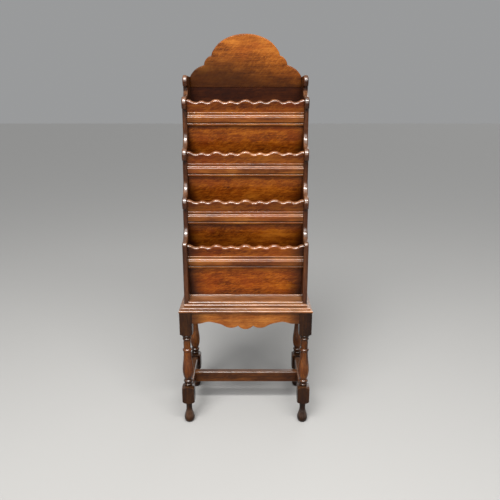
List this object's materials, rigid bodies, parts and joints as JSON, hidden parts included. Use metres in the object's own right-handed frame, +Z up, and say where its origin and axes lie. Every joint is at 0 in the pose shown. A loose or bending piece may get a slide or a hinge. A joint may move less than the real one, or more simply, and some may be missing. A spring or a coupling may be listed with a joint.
{
  "type": "magazine rack",
  "caption": "Tiered cascade magazine rack in dark oak: sloping wavy-topped pocket fronts between scalloped sides, arched crest, turned-leg stand with stretchers.",
  "frame": {"origin": "middle of the footprint, on the floor", "axes": "+Z up, the front faces -Y, +X to the right seen from the front"},
  "size_m": [0.364, 0.238, 1.074],
  "materials": {
    "front_oak": "french polished, figured oak, red-brown",
    "moulding_oak": "french polished oak, red-brown",
    "frame_oak": "french polished oak, dark red-brown",
    "turned_oak": "french polished turned oak, dark",
    "inner_oak": "stained oak, satin",
    "steel": "dull"
  },
  "bodies": {
    "root": {"back_left_leg": "turned_oak", "back_panel": "inner_oak", "back_panel_nails": "steel", "back_rail": "frame_oak", "back_right_leg": "turned_oak", "base_board": "frame_oak", "base_moulding": "moulding_oak", "crest_board": "front_oak", "cross_stretcher": "frame_oak", "foot_bead": "moulding_oak", "front_apron": "frame_oak", "front_left_leg": "turned_oak", "front_right_leg": "turned_oak", "glue_blocks": "inner_oak", "left_rail": "frame_oak", "left_side": "frame_oak", "left_stretcher": "frame_oak", "pocket_floor_1": "inner_oak", "pocket_floor_2": "inner_oak", "pocket_front_1": "front_oak", "pocket_front_2": "front_oak", "pocket_front_3": "front_oak", "pocket_front_4": "front_oak", "pocket_moulding_1": "moulding_oak", "pocket_moulding_2": "moulding_oak", "pocket_moulding_3": "moulding_oak", "pocket_moulding_4": "moulding_oak", "rack_screws": "steel", "right_rail": "frame_oak", "right_side": "frame_oak", "right_stretcher": "frame_oak", "stand_top": "frame_oak"}
  },
  "joints": []
}
